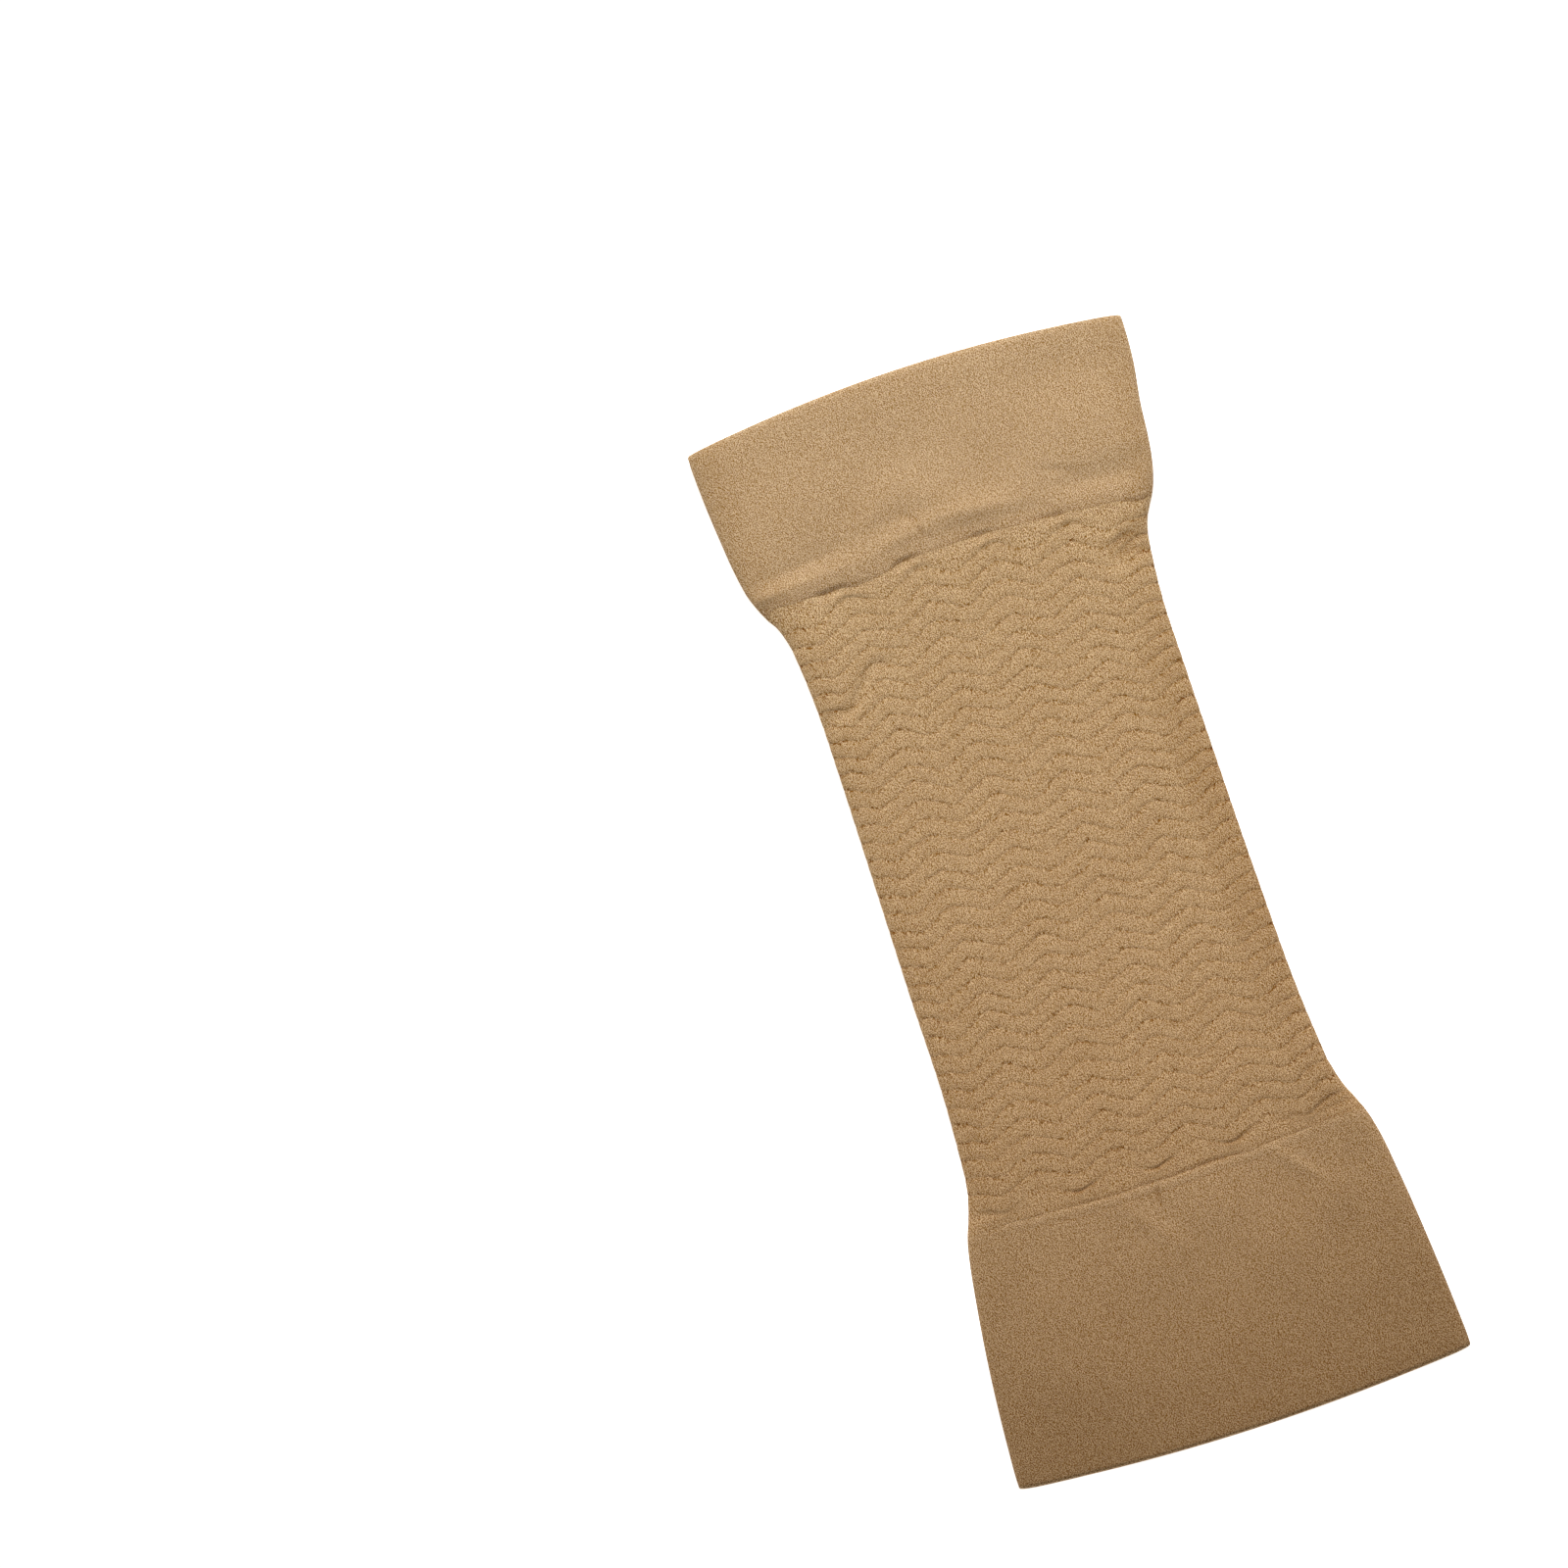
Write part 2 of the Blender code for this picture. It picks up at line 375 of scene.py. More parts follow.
# A join draws the knit beside it into short gathers along the sleeve, each a little different.
GATHERS = 84             # across one layer
GATHER_SPAN = 54.0       # from the centre line to the last of them
GATHER_STRAY = 0.6       # how far one stands from its even place
GATHER_WIDTH = 0.4
GATHER_DEPTH = 0.14
GATHER_ABOVE = (0.8, 3.4)    # the shortest and the longest, above the join
GATHER_BELOW = (0.4, 1.4)    # and below it


def gathers_at(points, line_y, join_y):
    """How strongly each point is drawn in by the gathers along the join at join_y."""
    random = np.random.default_rng(7)
    from_join = (line_y - join_y)[:, None]
    gathered = np.zeros(points.shape[:2])
    for even_x, stray in zip(np.linspace(-GATHER_SPAN, GATHER_SPAN, GATHERS),
                             random.uniform(-GATHER_STRAY, GATHER_STRAY, GATHERS)):
        strength = random.uniform(0.0, 1.0) ** 1.5
        reach_above, reach_below = random.uniform(*GATHER_ABOVE), random.uniform(*GATHER_BELOW)
        reach = np.where(from_join > 0, reach_above, reach_below)
        beside = np.exp(-((points[..., 0] - (even_x + stray)) / GATHER_WIDTH) ** 2)
        gathered += strength * (beside * np.exp(-(from_join / reach) ** 2))
    return gathered


def draw_in(points, wall, turn, gathered):
    """Sink the wall's outer face by its gathers."""
    points[..., 2] += GATHER_DEPTH * gathered * outer_share(wall) * np.cos(turn)


FOLD_SHADE_REACH = 11.5  # how far in from a fold the painted shade of the turning cloth starts
FOLD_SHADE_RUN = 6.0     # and over what length that comes in


def folded(points):
    """0 in the middle of a layer, rising to 1 at the folds."""
    x = np.abs(points[..., 0])
    return eased((x - x.max(axis=1, keepdims=True) + FOLD_SHADE_REACH) / FOLD_SHADE_RUN)


gathered = gathers_at(short_cuff_points, short_cuff_line, ROLL_JOIN_Y)
draw_in(short_cuff_points, short_cuff_wall, turn, gathered)

short_cuff = knit_tube("short_cuff_knit", short_cuff_points, short_cuff_wall, boxes=(
    Box(0.005, 0.005, 0.99, 0.43), Box(0.005, 0.445, 0.99, 0.43),
    Box(0.005, 0.885, 0.48, 0.11), Box(0.515, 0.885, 0.48, 0.11)))

# Slack is how loose the loops are, shadow the share of the light that a place is painted as
# losing: painted shade at the folds, at the roll's foot, in the gathers, in sharp creases and
# along the join's pinches. The knit is looser at the roll's foot.
FOOT_REACH = 2.8
FOOT_SLACK = 0.7
foot = np.exp(-((short_cuff_line[:, None] - ROLL_JOIN_Y) / FOOT_REACH) ** 2)
note_on(short_cuff, "slack", FOOT_SLACK * foot * np.ones(turn.size))
note_on(short_cuff, "shadow", 0.08 * folded(short_cuff_points) + 0.04 * foot + 0.12 * gathered
        + 0.6 * in_crease)


def add_node(tree, kind, inputs=(), **settings):
    """A node with its settings and inputs; an input is a value, or the socket that feeds it."""
    made = tree.nodes.new(kind)
    for setting, value in settings.items():
        setattr(made, setting, value)
    for socket, value in dict(inputs).items():
        if isinstance(value, bpy.types.NodeSocket):
            tree.links.new(value, made.inputs[socket])
        else:
            made.inputs[socket].default_value = value
    return made


def maths(operation, first, second=0.0, third=0.0):
    """The result of one Math node, in the tree that its inputs come from."""
    values = (first, second, third)
    tree = next(value.id_data for value in values if isinstance(value, bpy.types.NodeSocket))
    return add_node(tree, "ShaderNodeMath", enumerate(values), operation=operation).outputs[0]


RIB_TOP = 0.6            # where a rib's top lies, 1 above its foot,
RIB_CURVE = 1.5          # and how it falls off to its sides
LEGS_PER_WALE = 2.7      # spots of yarn that catch the light apart, across a column of stitches
LEGS_PER_COURSE = 1.8    # and along it
BESIDE_SHARE = 0.35      # how much of the spot beside a spot is taken off its brightness
BELOW_SHARE = 0.20       # and of the spot below
LEG_CONTRAST = 3.3       # the spread of what is left
LEG_OFFSET = -0.74       # and what brings its mean to about 0
STREAKS = 0.09           # how much courses differ in brightness
STREAK_RATE = (0.035, 0.33, 1.0)     # how fast that changes, for each wale and each course
RIB_STEP = 0.24          # from rib to rib a groove steps by up to this much of a row,
RIB_STEP_LOW = -0.10     # from this far below its line
HOLE_FALL = -85.0        # how fast the holes close off that line
HOLES_PER_COURSE = 0.8
HOLE_RARITY = 3.0        # few holes are wide open
WIDEST_HOLE = 3.4        # how open the widest is in a groove of 1,
CLOSED_HOLE = 0.05       # and one that is drawn shut
HOLE_SHADE = -0.65       # how much painted shade a hole of 1 takes off the colour
DARKEST = 0.18           # the least that a spot's shade can be


def stitch_group():
    """Knit face: columns of interlocked loops, with the shade and height of each spot of yarn.

    Stitches counts wales in X and courses in Y. Wales per rib is 1 on plain knit and 2 where
    every second column stands up. Slackness is how unlike each other the loops are, Ribbing how
    much the columns stand out. Row counts rows of waves; where it is whole, held stitches pull
    the cloth in by as much as Groove says and leave small holes between the ribs, darkened with
    painted shade. Shade is about 1 and multiplies the yarn's colour.
    """
    group = bpy.data.node_groups.new("knit_face", "ShaderNodeTree")
    group.interface.new_socket("Stitches", in_out="INPUT", socket_type="NodeSocketVector")
    for label, value in (("Wales per rib", 1.0), ("Slackness", 0.5), ("Ribbing", 0.1),
                         ("Row", 0.0), ("Groove", 0.0)):
        socket = group.interface.new_socket(label, in_out="INPUT", socket_type="NodeSocketFloat")
        socket.default_value = value
    for label in ("Shade", "Height"):
        group.interface.new_socket(label, in_out="OUTPUT", socket_type="NodeSocketFloat")
    source = add_node(group, "NodeGroupInput").outputs
    split = add_node(group, "ShaderNodeSeparateXYZ", {0: source["Stitches"]})
    wale, course = split.outputs[0], split.outputs[1]

    def cell_random(column, row):
        cell = add_node(group, "ShaderNodeCombineXYZ", {
            0: maths("FLOOR", column), 1: maths("FLOOR", row)})
        return add_node(group, "ShaderNodeTexWhiteNoise", {0: cell.outputs[0]},
                        noise_dimensions="2D").outputs[0]

    rib = maths("DIVIDE", wale, source["Wales per rib"])
    off_rib = maths("ABSOLUTE", maths("MULTIPLY_ADD", maths("FRACT", rib), 2.0, -1.0))
    rib_height = maths("SUBTRACT", RIB_TOP, maths("POWER", off_rib, RIB_CURVE))
    off_wale = maths("ABSOLUTE", maths("SUBTRACT", maths("FRACT", wale), 0.5))
    slanted = maths("ADD", course, off_wale)

    # Each leg of a loop catches the light in its own way, and a bright one stands out from
    # the darker ones beside and below it.
    leg = maths("MULTIPLY", wale, LEGS_PER_WALE)
    length = maths("MULTIPLY", slanted, LEGS_PER_COURSE)
    beside = cell_random(maths("SUBTRACT", leg, 1.0), length)
    below = cell_random(leg, maths("SUBTRACT", length, 1.0))
    darker = maths("MULTIPLY_ADD", beside, BESIDE_SHARE, maths("MULTIPLY", below, BELOW_SHARE))
    uneven = maths("MULTIPLY_ADD", maths("SUBTRACT", cell_random(leg, length), darker),
                   LEG_CONTRAST, LEG_OFFSET)
    face = maths("MULTIPLY_ADD", uneven, source["Slackness"],
                 maths("MULTIPLY", rib_height, source["Ribbing"]))

    # Now and then a whole course is drawn a little tighter for part of its way round.
    drawn_at = add_node(group, "ShaderNodeVectorMath", {0: source["Stitches"], 1: STREAK_RATE},
                        operation="MULTIPLY").outputs[0]
    drawn = add_node(group, "ShaderNodeTexNoise", {
        "Vector": drawn_at, "Scale": 1.0, "Detail": 2.0, "Roughness": 0.6},
        noise_dimensions="2D").outputs[0]
    streaked = maths("MULTIPLY_ADD", drawn, STREAKS, 1 - STREAKS / 2)

    # A groove steps up and down from rib to rib, and its holes are not all as open.
    nearest_row = maths("FLOOR", maths("ADD", source["Row"], 0.5))
    step = maths("MULTIPLY_ADD", cell_random(rib, nearest_row), RIB_STEP, RIB_STEP_LOW)
    off_row = maths("SUBTRACT", maths("SUBTRACT", source["Row"], nearest_row), step)
    squared = maths("POWER", maths("ABSOLUTE", off_row), 2.0)
    line = maths("EXPONENT", maths("MULTIPLY", squared, HOLE_FALL))
    hole = cell_random(maths("ADD", wale, 0.5), maths("MULTIPLY", course, HOLES_PER_COURSE))
    opening = maths("MULTIPLY_ADD", maths("POWER", hole, HOLE_RARITY), WIDEST_HOLE, CLOSED_HOLE)
    open_hole = maths("MULTIPLY", maths("MULTIPLY", source["Groove"], line), opening)
    shade = maths("MULTIPLY", maths("ADD", face, streaked),
                  maths("MULTIPLY_ADD", open_hole, HOLE_SHADE, 1.0))
    height = maths("SUBTRACT", face, open_hole)
    group_output = add_node(group, "NodeGroupOutput")
    group.links.new(maths("MAXIMUM", shade, DARKEST), group_output.inputs["Shade"])
    group.links.new(height, group_output.inputs["Height"])
    return group


knit_face = stitch_group()

SHADE_FADE_FROM, SHADE_FADE_TO = 0.10, -0.14   # painted shade: the yarn darkens between these places along the sleeve, in metres
CLOUDS = 0.12                    # how unevenly the dye has taken
RED_FALL = 0.76                  # how fast red falls as green does,
BLUE_FALL = 1.45                 # and blue
LEAST_BLUE = 0.03
LOOSENED = 0.35                  # how much looser the loops are where slack is 1


def knit_material(name, yarn, far_shaded_yarn, ribs, slackness, ribbing, bump):
    """Matt nylon knit, in colour from yarn at the sleeve's +Y end to the far yarn colour at the
    other; the darkening towards the far end is painted shade, for the light falling off there.

    Where the attribute slack is 1, its loops are a third looser and its ribs twice as high.
    """
    material = bpy.data.materials.new(name)
    material.use_nodes = True
    tree = material.node_tree
    shader = tree.nodes["Principled BSDF"]
    groove, row, slack, shadow = (
        add_node(tree, "ShaderNodeAttribute", attribute_name=label).outputs["Fac"]
        for label in ("groove", "row", "slack", "shadow"))
    face = add_node(tree, "ShaderNodeGroup", {
        "Stitches": add_node(tree, "ShaderNodeUVMap", uv_map="Stitches").outputs[0],
        "Wales per rib": ribs, "Row": row, "Groove": groove,
        "Slackness": maths("MULTIPLY_ADD", slack, LOOSENED * slackness, slackness),
        "Ribbing": maths("MULTIPLY_ADD", slack, ribbing, ribbing)},
        node_tree=knit_face).outputs

    place = add_node(tree, "ShaderNodeTexCoord").outputs["Object"]
    along = add_node(tree, "ShaderNodeSeparateXYZ", {0: place}).outputs[1]
    far = add_node(tree, "ShaderNodeMapRange", {
        "Value": along, "From Min": SHADE_FADE_FROM, "From Max": SHADE_FADE_TO, "To Min": 0.0, "To Max": 1.0})
    yarn_with_painted_fade = add_node(tree, "ShaderNodeMix", {
        0: far.outputs[0], 6: (*yarn, 1.0), 7: (*far_shaded_yarn, 1.0)}, data_type="RGBA").outputs[2]
    cloud = add_node(tree, "ShaderNodeTexNoise", {
        "Vector": place, "Scale": 40.0, "Detail": 1.0, "Roughness": 0.5}).outputs[0]
    clouded = maths("MULTIPLY_ADD", cloud, CLOUDS, 1 - CLOUDS / 2)
    # The attribute shadow is painted shade taken off the colour, and where it is below 0, painted
    # light added to it.
    lit = maths("SUBTRACT", 1.0, shadow)
    shade = maths("MULTIPLY", face["Shade"], maths("MULTIPLY", lit, clouded))

    # Light that bounces between the yarns comes out deeper in colour: blue falls off fastest.
    blue = maths("MULTIPLY_ADD", shade, BLUE_FALL, 1 - BLUE_FALL)
    shaded = add_node(tree, "ShaderNodeCombineColor", {
        0: maths("MULTIPLY_ADD", shade, RED_FALL, 1 - RED_FALL), 1: shade,
        2: maths("MAXIMUM", blue, LEAST_BLUE)}).outputs[0]
    colour = add_node(tree, "ShaderNodeMix", {0: 1.0, 6: yarn_with_painted_fade, 7: shaded},
                      data_type="RGBA", blend_type="MULTIPLY").outputs[2]
    tree.links.new(colour, shader.inputs["Base Color"])

    relief = add_node(tree, "ShaderNodeBump", {
        "Strength": 1.0, "Distance": bump * MM, "Height": face["Height"]})
    tree.links.new(relief.outputs[0], shader.inputs["Normal"])
    for label, value in (("Roughness", 0.85), ("Specular IOR Level", 0.15),
                         ("Sheen Weight", 0.04), ("Sheen Roughness", 0.4),
                         ("Sheen Tint", (0.95, 0.85, 0.7, 1.0))):
        shader.inputs[label].default_value = value
    return material


# Its far yarn colour is slightly deeper: painted shade.
short_cuff.data.materials.append(knit_material(
    "short_cuff_yarn", yarn=(0.439, 0.291, 0.153), far_shaded_yarn=(0.438, 0.280, 0.144),
    ribs=1.0, slackness=0.48, ribbing=0.08, bump=0.09))
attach(short_cuff, "root")
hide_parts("short_cuff")


# ------------ wave body
# The sleeve's middle: one layer of the same yarn, knitted in rows of waves. Held stitches draw
# each row into a puffed chevron ripple, with a groove between rows and a pit at every peak.

WAVE_BODY_SECTIONS = (
    Section(93.34, 4.3, 53.0, 51.9, 4.1),
    Section(91.2, 4.3, 51.7, 50.7, 3.9),
    Section(84.8, 4.3, 49.7, 48.1, 3.8),
    Section(78.5, 3.9, 48.9, 47.2, 3.8),
    Section(65.8, 2.7, 48.1, 46.2, 3.8),
    Section(50.0, 0.7, 48.0, 46.2, 3.8),
    Section(27.7, 0.0, 48.1, 46.4, 3.8),
    Section(-10.4, 0.0, 48.4, 46.9, 3.8),
    Section(-42.2, -0.3, 48.5, 47.9, 3.8),
    Section(-54.9, -0.9, 49.2, 48.9, 3.8),
    Section(-61.2, -1.3, 49.7, 49.6, 3.8),
    Section(-67.6, -1.7, 51.0, 51.4, 3.8),
    Section(-74.54, -2.0, 53.7, 54.5, 3.8),
)
BODY_WALL = 1.3
BODY_COLUMNS = 82        # mesh columns across one layer
WAVES_ROUND = 10         # chevrons round the tube
PEAK_X = 7.9             # one of the front's peaks stands this far right of the centre line
FIRST_ROW_Y = 97.26      # mean line of the first row's groove, half hidden by the roll
FIRST_PITCH = 4.762      # from one groove to the next there
PITCH_GROWTH = 0.0015    # and how that grows with each row
WAVE_RISE = 2.0          # how far a peak stands along the sleeve from the row's mean line
PEAK_SHARPNESS = 0.95    # 1 would be a true zigzag
DROP_SHARE = 0.46        # the part of a wave from its peak down to the valley on its right
FLATTEN_FROM = 40.0      # this far from the centre line the waves start to flatten out,
FLATTEN_RUN = 8.0        # over this length,
FLATTENED = 0.7          # and they lose this much of their rise
WOBBLE = 0.22            # how far a row strays from its waves, in mm
WOBBLE_SWINGS = (6, 9, 13, 17, 23)   # how often it does so round the tube
WOBBLE_DRIFT = 0.55      # how far that slips from one row to the next, in swings
WOBBLE_SHARE, WOBBLE_SPREAD = 0.45, 0.25     # mean and spread of each kind of swing
MOST_ROWS = 60           # more than the body has
STEADY_RUN = 7.0         # at each end the mesh straightens over this length, the grooves don't

# Mesh rows crowd in at the groove that starts each ripple, where the shape is finest.
RIPPLE_STEPS = np.array([0.0, 0.04, 0.09, 0.15, 0.25, 0.39, 0.54, 0.69, 0.81, 0.90, 0.96])
END_STEP = 0.28          # spacing of the mesh rows in the steady run at each end

body_top, body_bottom = WAVE_BODY_SECTIONS[0].side_y, WAVE_BODY_SECTIONS[-1].side_y
ripple_start = np.arange(MOST_ROWS)[:, None] + RIPPLE_STEPS
ripple_line = FIRST_ROW_Y - (
    FIRST_PITCH * ripple_start + PITCH_GROWTH * ripple_start ** 2).ravel()
fine_y = np.linspace(body_bottom, body_top, 2000)
ripple_y = np.interp(ripple_line, centre_line(WAVE_BODY_SECTIONS, fine_y), fine_y)
ripple_y = ripple_y[(ripple_y < body_top - STEADY_RUN) & (ripple_y > body_bottom + STEADY_RUN)]
body_y = np.concatenate([
    [body_top], np.arange(body_top - JOIN_ROW, body_top - STEADY_RUN, -END_STEP), ripple_y,
    np.arange(body_bottom + JOIN_ROW, body_bottom + STEADY_RUN, END_STEP)[::-1], [body_bottom]])
body_wall = wall_rows(body_y, inside_step=6.0, thickness=BODY_WALL, far_round=JOIN_ROUND,
                      near_round=JOIN_ROUND, round_steps=4)
body_line = centre_line(WAVE_BODY_SECTIONS, body_wall.side_y)
across, turn = columns_round(BODY_COLUMNS)
body_points = laid_points(WAVE_BODY_SECTIONS, body_wall, across, turn)

# Peaks stand where the wave number is whole. The front's columns run from right to left.
round_tube = round_share(body_points)[:, :-1]
middle_row = body_wall.outside // 2
front_columns = np.arange(turn.size // 2, turn.size)
peak_at = np.interp(-PEAK_X, -body_points[middle_row, front_columns, 0],
                    round_tube[middle_row, front_columns])
wave = WAVES_ROUND * (round_tube - peak_at)


def zigzag_height(wave_number):
    """1 at a wave's peak and -1 in its valley, steeper down its right flank than up its left."""
    within = np.mod(-wave_number, 1.0)
    drop = within / DROP_SHARE / 2
    climb = 0.5 + (within - DROP_SHARE) / (1 - DROP_SHARE) / 2
    turned = 2 * math.pi * np.where(within < DROP_SHARE, drop, climb)
    return np.arcsin(PEAK_SHARPNESS * np.cos(turned)) / math.asin(PEAK_SHARPNESS)


# No row keeps its waves exactly: each strays a little from the one before.
wobble_random = np.random.default_rng(11)
wobble = np.zeros(body_points.shape[:2])
row_near = (ROLL_JOIN_Y - body_line)[:, None] / FIRST_PITCH
for swings in WOBBLE_SWINGS:
    drift = np.cumsum(wobble_random.normal(0.0, WOBBLE_DRIFT, MOST_ROWS))
    size = np.abs(wobble_random.normal(WOBBLE_SHARE, WOBBLE_SPREAD, MOST_ROWS))
    drift_here = np.interp(row_near, np.arange(MOST_ROWS), drift)
    size_here = np.interp(row_near, np.arange(MOST_ROWS), size)
    wobble += WOBBLE * size_here * np.sin(2 * math.pi * (swings * round_tube + drift_here))

near_fold = eased((np.abs(body_points[..., 0]) - FLATTEN_FROM) / FLATTEN_RUN)
strayed = WAVE_RISE * (1 - FLATTENED * near_fold) * zigzag_height(wave) + wobble
from_end = np.minimum(body_top - body_wall.side_y, body_wall.side_y - body_bottom)[:, None]
kept = eased(from_end / STEADY_RUN)
body_points[..., 1] += strayed * kept

# The row number that each point lies at, whole along the grooves.
down = FIRST_ROW_Y - body_line[:, None] + strayed * (1 - kept)
row = (-FIRST_PITCH + np.sqrt(FIRST_PITCH ** 2 + 4 * PITCH_GROWTH * down)) / (2 * PITCH_GROWTH)

LONG_JOIN_Y = -76.55     # where the body meets the long cuff, on the centre line
LONG_PINCHES = (
    Pinch(-42.0, 7.0, 0.05, 1.0),
    Pinch(-30.0, 6.0, 0.12, 0.95),
    Pinch(-19.0, 6.0, 0.25, 0.55),
    Pinch(-6.0, 7.0, 0.25, 0.65),
    Pinch(7.0, 6.0, 0.36, 0.65),
    Pinch(15.5, 5.5, 0.38, 0.72),
    Pinch(31.0, 7.0, 0.20, 0.6),
    Pinch(44.0, 6.0, 0.07, 0.7),
)
LONG_BACK_PINCHES = (
    Pinch(-30.0, 9.0, 0.40, 0.2),
    Pinch(-4.0, 10.0, 0.30, -0.1),
    Pinch(22.0, 11.0, 0.45, 0.1),
)
in_crease = pinched(body_points, body_line, body_wall, turn, ROLL_JOIN_Y,
                    ROLL_PINCHES, ROLL_BACK_PINCHES, width=1.5)
in_crease += pinched(body_points, body_line, body_wall, turn, LONG_JOIN_Y,
                     LONG_PINCHES, LONG_BACK_PINCHES, width=0.7)

WAVE_BODY_CREASES = (
    # Below the roll the first courses stand up as a low ridge, on a broad swell.
    Crease(0.0, 94.9, 98.0, 1.3, 0.12, 0),
    Crease(8.0, 90.0, 84.0, 12.0, 0.30, 0),
    # A fold runs in from the left side, and the first rows pucker at their right ends.
    Crease(-38.5, 69.1, 31.0, 2.0, -0.66, 24),
    Crease(41.0, 89.0, 10.5, 0.9, -0.46, 0),
    Crease(42.8, 86.6, 9.0, 0.9, -0.42, 10),
    Crease(42.6, 84.4, 9.0, 0.9, -0.44, -8),
    Crease(43.6, 82.2, 7.0, 0.8, -0.28, 8),
    Crease(41.0, 85.4, 12.0, 4.2, -0.85, 0),
    # Two nicks, the edge of the back layer's fold down the right side, and broad swells.
    Crease(37.0, 55.6, 8.0, 0.9, -0.20, -38),
    Crease(3.4, 13.6, 9.0, 0.9, -0.15, -48),
    Crease(36.2, 20.0, 74.0, 0.6, -0.12, 91),
    Crease(23.0, 23.0, 18.0, 14.0, 0.45, 0),
    Crease(32.0, -57.5, 46.0, 9.0, 0.50, 0),
    Crease(-17.0, -58.6, 46.0, 12.0, 0.28, 0),
    # Where the last row meets the join, the valleys of its waves are drawn in.
    Crease(-46.5, -72.2, 9.0, 1.2, -0.40, 0),
    Crease(-21.5, -71.5, 7.5, 0.7, -0.46, 2),
    Crease(-0.6, -71.5, 7.5, 0.7, -0.52, 0),
    Crease(20.6, -71.2, 8.0, 0.8, -0.50, 0),
    Crease(34.0, -72.6, 5.0, 0.8, -0.20, 0),
    Crease(45.0, -71.4, 11.0, 0.9, -0.34, 0),
    Crease(48.0, -73.4, 9.0, 0.9, -0.28, 0),
    Crease(46.0, -74.2, 15.0, 4.0, -0.42, 0),
)
in_crease += crumpled(body_points, body_line, body_wall, turn, WAVE_BODY_CREASES, ())
gathered = (gathers_at(body_points, body_line, ROLL_JOIN_Y)
            + gathers_at(body_points, body_line, LONG_JOIN_Y))
draw_in(body_points, body_wall, turn, gathered)

wave_body = knit_tube("wave_body_knit", body_points, body_wall, boxes=(
    Box(0.005, 0.005, 0.488, 0.84), Box(0.507, 0.005, 0.488, 0.84),
    Box(0.005, 0.86, 0.488, 0.13), Box(0.507, 0.86, 0.488, 0.13)))
note_on(wave_body, "row", row)
note_on(wave_body, "wave", wave)

# The ripples deepen below the roll, die out just short of the long cuff, and pull harder at
# the folds.
DEEPEN_RUN = 6.5
DIE_OUT_RUN = 8.0
PLAIN_RUN = 1.0          # the last stretch, where nothing is left of them
FOLD_PULL = 0.35
off_joins = (eased((ROLL_JOIN_Y - body_line) / DEEPEN_RUN)
             * eased((body_line - LONG_JOIN_Y - PLAIN_RUN) / DIE_OUT_RUN))
note_on(wave_body, "rippled", outer_share(body_wall) * off_joins[:, None]
        * (1 + FOLD_PULL * folded(body_points)))

# Down the right side, over the edge of the back layer's fold, a strip of painted shade darkens
# the yarn. The shadow also holds painted shade at the folds, in the gathers, in sharp creases
# and along the joins' pinches.
STRIP_X, STRIP_SOFTNESS = 35.6, 0.9      # its inner edge, and how softly that starts
STRIP_Y, STRIP_REACH = 12.0, 52.0        # its middle along the sleeve, and how far it reaches
strip_shade = (eased((body_points[..., 0] - STRIP_X) / STRIP_SOFTNESS)
         * np.exp(-np.abs((body_line[:, None] - STRIP_Y) / STRIP_REACH) ** 6))
note_on(wave_body, "shadow", 0.04 * folded(body_points) + 0.08 * strip_shade + 0.12 * gathered
        + 0.5 * in_crease)

# The first courses below the roll are the loosest.
LOOSEST_Y, LOOSEST_REACH, LOOSEST_SLACK = 95.8, 1.6, 0.5
loosest = np.exp(-((body_line - LOOSEST_Y) / LOOSEST_REACH) ** 2)
note_on(wave_body, "slack", (1 + LOOSEST_SLACK * loosest[:, None]) * np.ones(turn.size))


